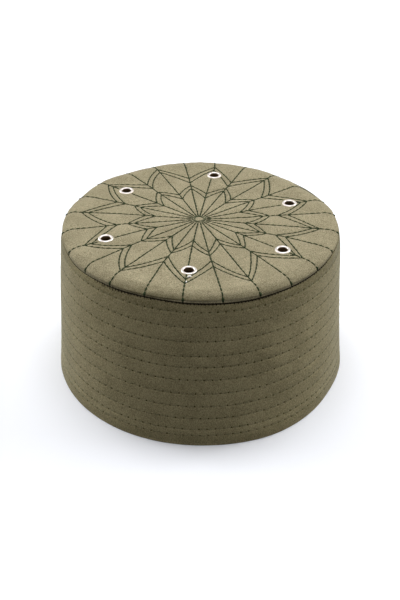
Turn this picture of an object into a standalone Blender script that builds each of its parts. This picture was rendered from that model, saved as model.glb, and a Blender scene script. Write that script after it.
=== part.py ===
"""A flat-topped felt skullcap: a quilted side band, a stiff round top panel and six metal eyelets.

Metres, +Z up. The cap stands on its rim at z = 0, with the origin at the rim's centre. The wearer's
forehead is at -Y and the back of the head at +Y, so the slightly longer way across lies along Y.
"""

import math

import bmesh
import bpy

# Driving dimensions of the cap
RIM_RADIUS = 0.0950
BAND_TOP_RADIUS = 0.0884
BAND_HEIGHT = 0.0986
FELT = 0.0028
SEAM_RADIUS = 0.0870
SHOULDER_WIDTH = 0.0097
SHOULDER_HEIGHT = 0.0048
CROWN_DOME = 0.0004
HEAD_OVAL = 0.009
GAP = 0.0003

# Side band: stitched rows pull the felt in, and it stands out softly between them
PUFF = 0.0003
ROW_DEPTH = 0.0004
PILLOW_SHOULDER = 0.24
HEM_THICKNESS = 0.0030
HEM_HEIGHT = 0.0135
FOOT_ROUND = 0.0006
LEDGE_DROP = 0.0006
STITCH_ROWS = (
    # name, height above the rim
    ("hem_lower", 0.0075),
    ("hem_upper", 0.0120),
    ("row_1", 0.0198),
    ("row_2", 0.0283),
    ("row_3", 0.0376),
    ("row_4", 0.0475),
    ("row_5", 0.0562),
    ("row_6", 0.0639),
    ("row_7", 0.0738),
    ("row_8", 0.0834),
    ("row_9", 0.0933),
)

# Eyelets, set by hand close to every sixth turn of the crown
EYELET_CIRCLE = 0.0620
EYELET_RADIUS = 0.0048
EYELET_HOLE_RADIUS = 0.0028
EYELET_METAL = 0.0004
EYELET_ROLL_HEIGHT = 0.0009
EYELET_BACK_RADIUS = 0.0043
EYELET_BACK_HEIGHT = 0.0005
EYELETS = (
    # name, turn in degrees from +X, distance off the eyelet circle
    ("eyelet_1", -1.8, 0.0002),
    ("eyelet_2", 58.9, 0.0004),
    ("eyelet_3", 119.1, 0.0003),
    ("eyelet_4", 180.5, -0.0003),
    ("eyelet_5", 242.7, -0.0015),
    ("eyelet_6", 301.6, 0.0006),
)

CLOTH_FACETS = 60
METAL_FACETS = 20


def clear_scene():
    for old in list(bpy.data.objects):
        bpy.data.objects.remove(old, do_unlink=True)


def new_collection(name):
    collection = bpy.data.collections.new(name)
    bpy.context.scene.collection.children.link(collection)
    return collection


def material(name, color, roughness, metallic):
    made = bpy.data.materials.new(name)
    made.use_nodes = True
    made.diffuse_color = color + (1.0,)
    surface = made.node_tree.nodes["Principled BSDF"]
    surface.inputs["Base Color"].default_value = color + (1.0,)
    surface.inputs["Roughness"].default_value = roughness
    surface.inputs["Metallic"].default_value = metallic
    return made


def felt_of_the_side():
    return material("side_felt", (0.205, 0.185, 0.115), 0.95, 0.0)


def felt_of_the_top():
    return material("top_felt", (0.360, 0.325, 0.225), 0.95, 0.0)


def metal_of_the_eyelets():
    return material("eyelet_metal", (0.840, 0.830, 0.810), 0.22, 1.0)


def arc(center_r, center_z, radius_r, radius_z, start, stop, steps):
    """Points of a quarter or part of an ellipse, from start to stop in degrees, both ends included."""
    points = []
    for step in range(steps + 1):
        turn = math.radians(start + (stop - start) * step / steps)
        points.append((center_r + radius_r * math.cos(turn), center_z + radius_z * math.sin(turn)))
    return points


def turned(name, profile, closed, facets, collection, surface):
    """An object made by turning a profile of (radius, height) points about the Z axis."""
    mesh = bpy.data.meshes.new(name)
    outline = bmesh.new()
    points = [outline.verts.new((radius, 0.0, height)) for radius, height in profile]
    for first, second in zip(points, points[1:]):
        outline.edges.new((first, second))
    if closed:
        outline.edges.new((points[-1], points[0]))
    outline.to_mesh(mesh)
    outline.free()
    mesh.materials.append(surface)
    turned_object = bpy.data.objects.new(name, mesh)
    collection.objects.link(turned_object)
    screw = turned_object.modifiers.new("Turn", "SCREW")
    screw.axis = "Z"
    screw.angle = math.tau
    screw.steps = facets
    screw.render_steps = facets
    screw.use_merge_vertices = True
    screw.merge_threshold = 0.00001
    screw.use_smooth_shade = True
    return turned_object


def fit_to_head(cloth):
    """Makes a round piece longer from forehead to back than from ear to ear."""
    cloth.scale = (1.0 - HEAD_OVAL, 1.0 + HEAD_OVAL, 1.0)


def band_radius(height):
    """The outer radius of the tapering band, before the rows are stitched."""
    return RIM_RADIUS + (BAND_TOP_RADIUS - RIM_RADIUS) * height / BAND_HEIGHT


def crown_height(radius):
    """The height of the top panel's outer surface at this radius."""
    base = BAND_HEIGHT + SHOULDER_HEIGHT + CROWN_DOME * (1.0 - (radius / SEAM_RADIUS) ** 2)
    past = max(0.0, (radius - (SEAM_RADIUS - SHOULDER_WIDTH)) / SHOULDER_WIDTH)
    return base - SHOULDER_HEIGHT * (1.0 - math.sqrt(max(0.0, 1.0 - past**2)))


def quilted_side():
    """The band's outer side from top to bottom: a pillow between each two rows, a groove at each row."""
    grooves = [height for _, height in reversed(STITCH_ROWS)]
    edges = [BAND_HEIGHT] + grooves + [0.0]
    points = []
    for upper, lower in zip(edges, edges[1:]):
        drop = upper - lower
        for share in (PILLOW_SHOULDER, 1.0 - PILLOW_SHOULDER):
            height = upper - share * drop
            points.append((band_radius(height) + PUFF, height))
        if lower > 0.0:
            points.append((band_radius(lower) - ROW_DEPTH, lower))
    return points


def side_band(collection):
    """The quilted wall, open below for the head, with a ledge inside its top edge for the top panel."""
    ledge = BAND_HEIGHT - LEDGE_DROP
    lip_inner = SEAM_RADIUS + GAP
    lip_round = (BAND_TOP_RADIUS - lip_inner) / 2.0
    lip = arc(lip_inner + lip_round, ledge, lip_round, LEDGE_DROP, 180, 0, 4)
    foot = arc(RIM_RADIUS - FOOT_ROUND, FOOT_ROUND, FOOT_ROUND, FOOT_ROUND, 0, -90, 2)
    hem_inner = RIM_RADIUS - HEM_THICKNESS
    hem_back = arc(hem_inner + FOOT_ROUND, FOOT_ROUND, FOOT_ROUND, FOOT_ROUND, -90, -180, 2)
    inside = [
        (band_radius(HEM_HEIGHT) - HEM_THICKNESS, HEM_HEIGHT),
        (band_radius(HEM_HEIGHT) - FELT, HEM_HEIGHT + 2.0 * (HEM_THICKNESS - FELT)),
        (band_radius(BAND_HEIGHT / 2.0) - FELT, BAND_HEIGHT / 2.0),
        (BAND_TOP_RADIUS - FELT, ledge),
    ]
    profile = lip + quilted_side()[:-1] + foot + hem_back + inside
    band = turned("side_band", profile, True, CLOTH_FACETS, collection, felt_of_the_side())
    fit_to_head(band)
    return band


def top_panel(collection, holes):
    """The stiff flat top, rolled over at its edge and standing on the band's ledge."""
    ledge = BAND_HEIGHT - LEDGE_DROP
    flat_radius = SEAM_RADIUS - SHOULDER_WIDTH
    inner_radius = SEAM_RADIUS - FELT
    flat = [(share * flat_radius, crown_height(share * flat_radius)) for share in (0.0, 0.5, 0.8)]
    rolled = []
    for turn in (0, 20, 38, 55, 72, 90):
        radius = flat_radius + SHOULDER_WIDTH * math.sin(math.radians(turn))
        rolled.append((radius, crown_height(radius)))
    edge = [(SEAM_RADIUS, ledge + GAP), (inner_radius, ledge + GAP)]
    under_top = crown_height(flat_radius) - FELT
    under_roll = arc(flat_radius, ledge + 2.0 * GAP, inner_radius - flat_radius,
                     under_top - ledge - 2.0 * GAP, 0, 90, 4)
    under_flat = [(radius, height - FELT) for radius, height in reversed(flat)]
    profile = flat + rolled + edge + under_roll + under_flat
    panel = turned("top_panel", profile, False, CLOTH_FACETS, collection, felt_of_the_top())
    fit_to_head(panel)
    cut = panel.modifiers.new("Eyelet holes", "BOOLEAN")
    cut.operand_type = "COLLECTION"
    cut.collection = holes
    cut.solver = "EXACT"
    return panel


def place_at_eyelet(piece, turn_degrees, off_circle):
    """Puts a piece on the crown at this eyelet's place."""
    radius = EYELET_CIRCLE + off_circle
    turn = math.radians(turn_degrees)
    piece.location = (radius * math.cos(turn), radius * math.sin(turn), crown_height(radius))
    piece.rotation_euler = (0.0, 0.0, turn)


def punched_hole(name, turn_degrees, off_circle, collection):
    """The cutter for one eyelet's hole through the felt."""
    bpy.ops.mesh.primitive_cylinder_add(
        vertices=METAL_FACETS,
        radius=EYELET_HOLE_RADIUS + EYELET_METAL + GAP,
        depth=6.0 * FELT,
    )
    cutter = bpy.context.active_object
    cutter.name = name + "_hole"
    for holder in list(cutter.users_collection):
        holder.objects.unlink(cutter)
    collection.objects.link(cutter)
    place_at_eyelet(cutter, turn_degrees, off_circle)
    cutter.display_type = "WIRE"
    cutter.hide_render = True
    return cutter


def eyelet(name, turn_degrees, off_circle, collection, surface):
    """A rolled metal ring with its barrel through the felt, flared over the felt's underside."""
    barrel = EYELET_HOLE_RADIUS + EYELET_METAL
    back_top = -FELT - GAP
    half = (EYELET_RADIUS - EYELET_HOLE_RADIUS) / 2.0
    back_half = (EYELET_BACK_RADIUS - EYELET_HOLE_RADIUS) / 2.0
    roll = arc(EYELET_HOLE_RADIUS + half, GAP, half, EYELET_ROLL_HEIGHT, 180, 0, 5)
    back = arc(EYELET_HOLE_RADIUS + back_half, back_top, back_half, EYELET_BACK_HEIGHT, 0, -180, 4)
    profile = roll + [(barrel, GAP), (barrel, back_top)] + back
    ring = turned(name, profile, True, METAL_FACETS, collection, surface)
    place_at_eyelet(ring, turn_degrees, off_circle)
    return ring


def build():
    clear_scene()
    cap = new_collection("felt_skullcap")
    holes = new_collection("cutters")
    metal = metal_of_the_eyelets()
    for name, turn_degrees, off_circle in EYELETS:
        punched_hole(name, turn_degrees, off_circle, holes)
        eyelet(name, turn_degrees, off_circle, cap, metal)
    side_band(cap)
    top_panel(cap, holes)


build()
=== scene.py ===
"""The looks of a flat-topped felt skullcap: quilted felt, a stitched star, its seam and its metal eyelets.

Metres, +Z up, in the frame of the solids. The cap stands on its rim at z = 0, centred on the origin. A place
on the crown is a turn about the centre, in radians from +X, and a distance from the centre along the cloth.
The tables that run round the cap start with a turn in degrees off its front, the side that faces the camera.
A soft band, such as HEM_CREASE, is given by its middle and its half-width. LIP_GROOVE_BAND and
EDGE_RUMPLE_BAND are counted inwards from the crown's edge. The chart of the star was read from the
photograph, in millimetres and degrees.
"""

from math import cos, radians, sin, sqrt, tau

import bmesh
import bpy
import numpy as np
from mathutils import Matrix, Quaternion, Vector, kdtree

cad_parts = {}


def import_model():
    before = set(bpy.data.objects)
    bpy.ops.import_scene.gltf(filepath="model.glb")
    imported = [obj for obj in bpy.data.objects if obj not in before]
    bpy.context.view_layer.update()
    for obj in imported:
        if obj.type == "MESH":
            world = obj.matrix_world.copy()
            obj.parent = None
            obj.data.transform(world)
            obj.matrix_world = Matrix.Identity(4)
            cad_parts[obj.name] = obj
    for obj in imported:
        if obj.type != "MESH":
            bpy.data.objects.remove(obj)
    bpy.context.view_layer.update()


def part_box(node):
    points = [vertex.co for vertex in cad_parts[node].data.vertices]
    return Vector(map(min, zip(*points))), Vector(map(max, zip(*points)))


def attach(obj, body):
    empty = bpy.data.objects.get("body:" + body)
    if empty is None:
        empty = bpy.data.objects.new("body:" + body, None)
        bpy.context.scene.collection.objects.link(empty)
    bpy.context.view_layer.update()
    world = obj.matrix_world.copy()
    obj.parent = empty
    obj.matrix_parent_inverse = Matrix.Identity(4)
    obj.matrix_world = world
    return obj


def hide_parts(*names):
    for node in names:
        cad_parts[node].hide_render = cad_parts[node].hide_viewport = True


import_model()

MM = 0.001
SEED = 11

# The cap's driving sizes, the same as those of the solids
RIM_RADIUS = 0.0950
BAND_TOP_RADIUS = 0.0884
BAND_HEIGHT = 0.0986
FELT = 0.0028
SEAM_RADIUS = 0.0870
SHOULDER_WIDTH = 0.0097
SHOULDER_HEIGHT = 0.0048
CROWN_DOME = 0.0004
GAP = 0.0003
LEDGE_DROP = 0.0006
HEM_THICKNESS = 0.0030
HEM_HEIGHT = 0.0135
OVAL = np.array((0.991, 1.009, 1.0))
STITCH_ROWS = (0.0075, 0.0120, 0.0198, 0.0283, 0.0376, 0.0475, 0.0562, 0.0639, 0.0738, 0.0834, 0.0933)

# The band's quilting, its needle holes and the columns of its mesh
PUFF = 0.00007
ROW_DEPTH = 0.00004
ROW_WIDTH = 0.0010
ROW_WANDER = 0.00021
ROW_WAVES = (1, 2, 3, 5, 8)
ROW_START = 0.45
BAND_SWELL = 0.00003
BAND_SWELL_FROM = 0.003
BAND_SWELLS = 14
BAND_WAVES = (3, 26)
BAND_SLANTS = (20.0, 160.0)
STITCHES_ROUND = 118
HOLE_DEPTH = 0.0005
BESIDE_HOLE = 0.55
ON_ROW = 0.0001
BESIDE_ROW = 0.0004
COLUMNS_PER_STITCH = (0.0, 0.08, 0.36, 0.64, 0.92)
STITCH_GAPS = (0.0, 0.08, 0.36, 0.36, 0.08)
ROW_LINES = (-2.1, -1.3, -0.75, -0.3, 0.0, 0.3, 0.75, 1.3, 2.1)
OTHER_LINES = (1.0, 1.4, 1.7, 2.0, 2.3, 2.7, 3.6, 5.0, 96.0, 96.6, 97.1)
WIDE_ROW = 0.006

# The band's rim
HEM_CREASE = (0.0018, 0.0004)
HEM_CREASE_DEPTH = 0.00016
HEM_ROUND = 0.0005
HEM_STEP = 0.0004
INSIDE_FROM = 0.006
INSIDE_LINES = 18
RIM_FLARE = 0.0006
RIM_FLARE_REACH = 0.012
TOP_KEPT_SWELL = 0.35
SWELLS = (
    # turn from +X and half-width in degrees, height it fades over, how far it stands out
    (-84.0, 16.0, 0.012, 0.0012),
    (-48.0, 12.0, 0.012, -0.0009),
    (-14.0, 26.0, 1.0, 0.0009),
)

# The band's top edge and the seam it leaves open
LIP_TOP_RADIUS = 0.0875
LIP_OPENING = 0.0004
LIP_DROP = 0.0002
LIP_BEVEL = 0.0001
SEAM_DROP = 0.0007
BAND_TOP = BAND_HEIGHT - SEAM_DROP
LEDGE = BAND_TOP - LEDGE_DROP
LEDGE_RADIUS = BAND_TOP_RADIUS - 0.6 * FELT
SEAM_OPENINGS = (
    # turn, how far the seam stands open
    (-75, 0.15), (-62, 0.35), (-50, 0.35), (-42, 0.40), (-34, 0.80),
    (0, 1.00), (30, 0.85), (55, 0.70), (75, 0.40), (95, 0.15),
)
TOP_LEAN = 0.0005
TOP_LEAN_REACH = 0.0030

# Where painted shade darkens the band's felt
TOP_SHADE = 0.28
TOP_SHADE_LESS = 0.6
UPPER_SHADE = 0.13
UPPER_REACH = 0.015
HEM_SHADE = 0.18
SHADE_BLUR = (-0.0003, 0.0003)

# The crown's rolled and turned-under edge above the seam
EDGE_OUT = 0.0005
ROLL_WIDTH = 0.0076
ROLL_HEIGHT = 0.0030
ROLL_SOFT = 0.75
ROLL_ANGLE = 88.0
ROLL_STEPS = 42
FLAT_STEPS = 40
CROWN_EDGE = (
    # radius, height above the band, in millimetres
    (87.44, 1.40), (87.34, 0.95), (87.62, 0.62), (87.62, 0.28),
    (87.40, 0.06), (86.80, 0.00), (86.20, -0.50), (86.20, -1.20),
)
SEEN_EDGE = 0.0023
LIP_FILL = 0.00014
LIP_FILL_BAND = (BAND_HEIGHT + 0.0010, 0.0004)
LIP_GROOVE = 0.00018
LIP_GROOVE_BAND = (0.0016, 0.0008)
LIPS = (
    # turn, how far the crown's edge stands out as a lip above the seam
    (-60, 0.6), (-48, 0.0), (-28, 0.0), (-14, 0.8), (-8, 1.0),
    (6, 1.0), (18, 0.2), (30, 0.0), (50, 0.0), (62, 0.6),
)

# How far the crown's edge droops towards the back, from where its flat part ends
DROOP_RADII = (0.0750, 0.0872)
DROOP_KEPT = 0.0018
DROOPS = (
    # turn, how far the edge hangs in millimetres
    (-180, 1.0), (-165, 1.2), (-150, 1.5), (-132, 0.1), (-116, 0.8), (-95, 0.0), (100, 0.0),
    (108, 1.3), (121, 3.3), (132, 2.5), (140, 2.2), (150, 1.3), (165, 0.9), (180, 1.0),
)

# How the cap's top edge and its seam stray from a true round
TOP_SHIFT = 0.0006
TOP_SHIFT_TURN = -13.0
TOP_SHIFT_FROM = 0.0700
SEAM_FALL = 0.95
SEAM_WAVES = (
    # turn and half-width in degrees, how far the seam rises
    (-58.0, 10.0, -0.0012), (-19.0, 14.0, 0.0010), (17.0, 9.0, -0.0005), (68.0, 18.0, 0.0013),
)

# The low relief of the crown's felt, and how its mesh is divided
CROWN_GROOVE_DEPTH = 0.00028
CROWN_GROOVE_WIDTH = 0.00075
CROWN_PUFF = 0.00022
CROWN_PUFF_REACH = 0.0045
CROWN_SWELL_SIZE = 0.00018
CROWN_RUMPLE_SIZE = 0.00003
EDGE_RUMPLE_SIZE = 0.00024
EDGE_RUMPLE_BAND = (0.005, 0.004)
EDGE_RUMPLE_BACK = 0.2
EDGE_SETTLED = 0.0006
EYELET_DIMPLE = 0.00012
EYELET_DIMPLE_REACH = 0.0025
RING_STEP = 0.00064
FINE_EDGE = 0.0024
FINE_RINGS = 18
RING_COLUMNS = (
    # distance from the centre, columns of the rings beyond it
    (0.046, 720), (0.023, 360), (0.0115, 180), (0.00575, 90), (0.0, 45), (-1.0, 1),
)
UNDERSIDE_COLUMNS = 360

# Where painted shade darkens the crown's felt
ROLL_SHADE = 0.27
ROLL_DROPS = (0.0003, 0.0014)
ROLL_SHADES = (
    # turn, the roll's share of its full painted shade
    (-70, 0.0), (-50, 0.1), (-38, 0.5), (-25, 0.9), (0, 1.0),
    (30, 0.9), (50, 0.5), (75, 0.1), (90, 0.0),
)
ROLL_FOOT_SHADE = 0.14
ROLL_FOOT_BAND = (0.0027, 0.0007)
# Painted shade a little left of the front: its strength, turn and half-width, and the radii it grows over
ROLL_SUNK_SHADE = 0.60
ROLL_SUNK_SHADE_TURNS = (-18.0, 20.0)
ROLL_SUNK_SHADE_REACHES = (0.0798, 0.0840)
LIP_DROPS = (0.0030, 0.0036)
ONSET_SHADE = 0.11
ONSET_BAND = (0.0815, 0.0013)
OUTER_REACHES = (0.045, 0.070)
OUTER_SHADES = (
    # turn, how much painted shade darkens the crown's outer part
    (-180, 0.065), (-85, 0.06), (-62, 0.0), (40, 0.0), (80, 0.045), (110, 0.065),
)

# Eyelets
EYELET_NAMES = [f"eyelet_{number}" for number in range(1, 7)]
EYELET_COLUMNS = 64
EYELET_RADIUS = 0.0048
EYELET_HOLE_RADIUS = 0.0028
EYELET_METAL = 0.0004
EYELET_CLEAR = 0.0002
EYELET_BARREL = EYELET_HOLE_RADIUS + EYELET_METAL
EYELET_ROLL_HEIGHT = 0.0009
EYELET_SEEN_HEIGHT = 0.00055
EYELET_SEEN_RADIUS = 0.0047
EYELET_SEEN_HOLE = 0.0031
EYELET_SINK = 0.0004
EYELET_RIM_DEPTH = 0.0004
EYELET_BACK_RADIUS = 0.0043
EYELET_BACK_HEIGHT = 0.0005
EYELET_UNDERCUT = (0.0002, 0.0001)
EYELET_ROLL_ANGLES = np.linspace(180, 0, 15)
EYELET_BACK_ANGLES = np.linspace(0, -180, 9)
PUNCH_GAP = 0.0001
PUNCH_SIDES = 40
PUNCH_LENGTH = 6.0 * FELT

# Threads of the star
STITCH_STEPS = 7
CROWN_PITCH = 0.0037
DASH_SPREAD = 0.08
DASH_STRAY = 0.00005
LOOSE_DASH_SHARE = 0.86
LOOSE_FROM = 0.0745
LOOSE_WEIGHT = 1.15
SPOKE_WEIGHTS = (0.92, 1.08)
STAR_WEIGHTS = (0.9, 1.1)
SEAM_END = 0.0022
SEAM_END_WEIGHT = 1.7
CROWN_THREAD_WIDTH = 0.00041
CROWN_THREAD_HEIGHT = 0.00024
ARCH = np.array((0.2, 0.4, 0.75, 0.85, 0.75, 0.4, 0.2))
TAPER = np.array((0.72, 0.80, 1.04, 1.08, 1.04, 0.80, 0.72))
# Two small pale flecks beside the front eyelet, drawn as short pale threads
FLECK_RISE = 0.8
PALE_FLECKS = (
    # place on the crown's plan, turn, length and thickness, in millimetres and degrees
    (-30.6, -60.9, -21.0, 2.3, 1.1),
    (-34.1, -65.0, 60.0, 1.0, 0.8),
)

# Threads at the crown's centre
FINE_THREAD = 0.38
LOOP_RADII = (0.0028, 0.0033, 0.0041)
LOOP_RISE = 0.7
LOOP_LAP = 1.03
LOOP_STEPS = 60
LOOP_WAVES = (0.00018, 0.0001)
SHORT_STITCHES = 16
SHORT_TURN_SPREAD = 5.0
SHORT_STARTS = (3.5, 4.0)
SHORT_ENDS = (4.8, 5.6)
SHORT_RISE = 0.9

# Threads of the side
SIDE_THREAD_WIDTH = 0.00015
SIDE_THREAD_HEIGHT = 0.00011
SIDE_SHARES = np.array((0.05, 0.10, 0.25, 0.5, 0.75, 0.90, 0.95))
SIDE_DIVE = np.array((-3.5, -0.9, 0.05, 0.2, 0.05, -0.9, -3.5))

# Threads of the seam
CORD_RADIUS = 0.08728
CORD_RISE = 0.00045
CORD_THICKNESS = 0.00040
CORD_STEPS = 361
SEAM_STITCHES = 262
SEAM_THREAD_RADIUS = 0.00026
SEAM_STITCH_SPREAD = 0.12
SEAM_SLANT = 0.006
SEAM_SLANT_SPREAD = 0.001
SEAM_REACHES = (0.6, 1.0)
SEAM_STITCH_START = (0.08745, BAND_HEIGHT - 0.0002)
SEAM_STITCH_OUT = 0.00075
SEAM_STITCH_RISE = 0.0007
SEAM_STITCH_FALL = 0.0016
SEAM_OUT_POWER = 0.8
SEAM_FALL_POWER = 1.3
SEAM_THREAD_FLAT = 0.8
SEAM_TAPER = np.array((0.7, 1.0, 1.0, 1.0, 1.0, 0.95, 0.6))
TUFT_TURNS = (-151.0, 10.0)
TUFT_REACHES = (0.3, 1.1)

# The star on the crown. A petal's axis lies every 30 degrees, and a valley's line halfway between two axes.
PETALS = 12
PETAL_TURN = 30
PETAL_STEPS = 25
CHART_STEP = 0.0005
ROSETTE_START = 4.8
# In millimetres: the second line's distance at a tip and at a valley, a side's bulge and the bulge's swing
OUTER_STAR = (4.4, 6.3, 0.85, 0.7)
INNER_STAR = (4.1, 6.1, 0.7, 0.4)
ROUNDEST_FACING = 225.0
# Petal and side of the outer star: how much further that side bulges than its neighbours
ROUNDER_SIDES = {(3, 1): 0.3, (7, 0): 0.9, (9, 1): 0.7}
PETAL_AXES = (
    # inner star's valley radius and turn off the axis, outer star's tip radius and turn, turn at the seam
    (33.4, -1.7, 74.1, -2.7, -1.5),
    (33.1, -0.3, 73.5, -0.9, -1.0),
    (34.2, 0.3, 74.5, 0.0, 0.9),
    (35.3, -0.2, 76.2, 0.5, 0.7),
    (34.8, -0.6, 77.6, 0.2, 0.3),
    (34.2, -0.8, 76.0, 0.6, 0.5),
    (34.0, -0.6, 76.3, 2.4, 2.1),
    (32.3, 0.0, 75.8, 1.15, 1.6),
    (32.3, 1.0, 75.0, 2.1, 1.9),
    (32.8, 1.15, 77.4, 1.2, 1.7),
    (33.7, 1.8, 77.0, 0.8, 0.8),
    (34.9, -0.5, 75.9, -1.0, 0.0),
)
VALLEY_LINES = (
    # inner star's tip radius and turn off the line, outer star's valley radius and turn, turn at the seam
    (44.1, -1.3, 55.9, -1.3, -1.5),
    (45.6, 0.2, 55.1, 0.2, 0.0),
    (46.1, 0.3, 56.6, 0.2, 0.6),
    (46.1, -0.2, 58.7, -0.6, -0.2),
    (45.6, -0.5, 58.3, -0.6, 0.0),
    (45.0, 0.5, 57.9, 1.1, 1.5),
    (44.3, 0.5, 57.5, 0.9, 2.0),
    (43.9, 1.2, 54.6, 1.0, 2.0),
    (44.2, 1.65, 56.2, 1.9, 2.0),
    (45.4, 1.1, 56.2, 1.2, 0.6),
    (45.0, 0.4, 57.1, 0.9, -0.2),
    (44.9, -1.4, 56.4, -1.4, 0.0),
)

# Studio, with the camera at the photograph's angle
CAMERA_TURN = -111.5
CAMERA_ELEVATION = 33.81
CAMERA_DISTANCE = 0.665
CAMERA_AIM = (0.0003, -0.0001, 0.0423)
CAMERA_ROLL = -0.0049
CAMERA_LENS = 59.97
LIGHT_AIM = (0.0, 0.0, 0.06)
LIGHTS = (
    # name, turn and elevation in degrees, distance, size, watts, blue
    ("top_softbox", 0.0, 88.0, 1.2, 0.7, 5.65, 1.0),
    ("top_back_softbox", 180.0, 75.0, 2.6, 1.6, 23.4, 1.0),
    ("low_front_fill", 0.0, 12.0, 1.8, 0.8, 6.8, 1.02),
    ("back_left_softbox", -128.0, 24.0, 1.5, 0.9, 9.0, 1.0),
    ("side_left_softbox", -106.0, 18.0, 1.5, 0.9, 11.1, 1.0),
    ("low_left_softbox", -110.0, 10.0, 1.5, 0.6, 3.0, 1.0),
    ("back_right_softbox", 128.0, 24.0, 1.5, 0.9, 9.0, 1.0),
    ("side_right_softbox", 100.0, 26.0, 1.5, 0.9, 11.1, 1.0),
    ("low_right_softbox", 110.0, 10.0, 1.5, 0.6, 3.0, 1.0),
)
WORLD_STRENGTH = 0.9
FLOOR_RADIUS = 1.05
FLOOR_CORNERS = 96
FLOOR_COLOR = (0.885, 0.903, 0.945, 1.0)
FLOOR_GLOW_COLOR = (1.0, 0.97, 1.05, 1.0)
FLOOR_GLOW = 0.04

# Colours and textures. Each thread has a dark and a light dye.
STAR_DYES = ((0.015, 0.0225, 0.009, 1.0), (0.030, 0.043, 0.018, 1.0))
CENTRE_DYES = ((0.034, 0.050, 0.023, 1.0), (0.062, 0.086, 0.043, 1.0))
PALE_DYES = ((0.86, 0.84, 0.81, 1.0), (0.92, 0.90, 0.87, 1.0))
SIDE_DYES = ((0.135, 0.134, 0.074, 1.0), (0.200, 0.188, 0.106, 1.0))
SEAM_DYES = ((0.010, 0.007, 0.003, 1.0), (0.021, 0.016, 0.007, 1.0))
# Each felt has a cool and a warm tone, and a shade between its fibres.
TOP_TONES = ((0.349, 0.317, 0.203, 1.0), (0.405, 0.351, 0.229, 1.0), (0.182, 0.157, 0.095, 1.0))
SIDE_TONES = ((0.372, 0.331, 0.186, 1.0), (0.430, 0.362, 0.211, 1.0), (0.220, 0.189, 0.100, 1.0))
TOP_SHEEN = 0.06
SIDE_SHEEN = 0.22
SHEEN_TINT = (0.68, 0.77, 0.84, 1.0)
PLATING = ((0.62, 0.575, 0.54, 1.0), (0.50, 0.445, 0.405, 1.0))
BARE_METAL = (0.130, 0.085, 0.045, 1.0)
# How much of each channel of a felt's shade tone is left where painted shade is strongest
DARKEST = (0.18, 0.17, 0.0, 1.0)
DULL = 0.05
# How fine each texture's pattern is
HEATHER = 700.0
CLOUD = 60.0
GRAIN = 2300.0
FIBRE = 3200.0
PLIES = 5200.0
SCUFFS = 4200.0
STAINS = 900.0
HOLE_PATCHES = 130.0
CREASE_PATCHES = 90.0
# Where the painted shade of a needle hole and of its row's crease fades, as distances from their middles
HOLE_SEEN = (0.00036, 0.00070)
CREASE_SEEN = (0.00010, 0.00042)


# Materials

def new_material(name, specular=DULL):
    """A material, its node tree and its shader."""
    made = bpy.data.materials.new(name)
    made.use_nodes = True
    shader = made.node_tree.nodes["Principled BSDF"]
    shader.inputs["Specular IOR Level"].default_value = specular
    return made, made.node_tree, shader


def fill(tree, made, sockets):
    """Gives each of a node's sockets a value, or a link from another node's output."""
    for socket, value in sockets.items():
        if isinstance(value, bpy.types.NodeSocket):
            tree.links.new(value, made.inputs[socket])
        else:
            made.inputs[socket].default_value = value


def node(tree, kind, sockets=None, **settings):
    made = tree.nodes.new("ShaderNode" + kind)
    for setting, value in settings.items():
        setattr(made, setting, value)
    fill(tree, made, sockets or {})
    return made


def noise(tree, place, scale, detail=3.0, roughness=0.55):
    made = node(tree, "TexNoise", {"Vector": place, "Scale": scale, "Detail": detail, "Roughness": roughness})
    return made.outputs["Fac"]


def blend_colors(tree, share, first, second):
    """Mixes two colours. The node's sockets for colours are its seventh and eighth."""
    return node(tree, "Mix", {0: share, 6: first, 7: second}, data_type="RGBA").outputs[2]


def spread(tree, value, low, high, to_low=0.0, to_high=1.0):
    """Maps a value from one range to another, held at its ends."""
    sockets = {"Value": value, "From Min": low, "From Max": high, "To Min": to_low, "To Max": to_high}
    return node(tree, "MapRange", sockets).outputs["Result"]


def calculate(tree, operation, first, second):
    return node(tree, "Math", {0: first, 1: second}, operation=operation).outputs[0]


def weighed(tree, first, first_weight, second, second_weight):
    """The sum of two values, each with its weight."""
    return calculate(tree, "ADD", calculate(tree, "MULTIPLY", first, first_weight),
                     calculate(tree, "MULTIPLY", second, second_weight))


def painted(tree, name):
    """The number that paint() stored for each point."""
    return node(tree, "Attribute", attribute_name=name).outputs["Fac"]


def roughen(tree, height, strength, distance):
    """A bumpy surface's normal."""
    bump = node(tree, "Bump", {"Height": height, "Strength": strength, "Distance": distance})
    return bump.outputs["Normal"]


def needle_hole_shade(tree, place):
    """Painted shade in the needle holes and along the crease between them, from the distances to both."""
    along = painted(tree, "stitch_gap")
    across = painted(tree, "row_gap")
    reach = calculate(tree, "SQRT", weighed(tree, along, along, across, across), 0.0)
    hole = spread(tree, reach, *HOLE_SEEN, 1.0, 0.0)
    opened = spread(tree, noise(tree, place, HOLE_PATCHES, 1.0), 0.38, 0.58, 0.6, 1.0)
    crease = spread(tree, across, *CREASE_SEEN, 1.0, 0.0)
    pulled = spread(tree, noise(tree, place, CREASE_PATCHES, 1.0), 0.38, 0.62, 0.08, 0.44)
    hole = calculate(tree, "MULTIPLY", hole, opened)
    return calculate(tree, "MAXIMUM", hole, calculate(tree, "MULTIPLY", crease, pulled))


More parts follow.
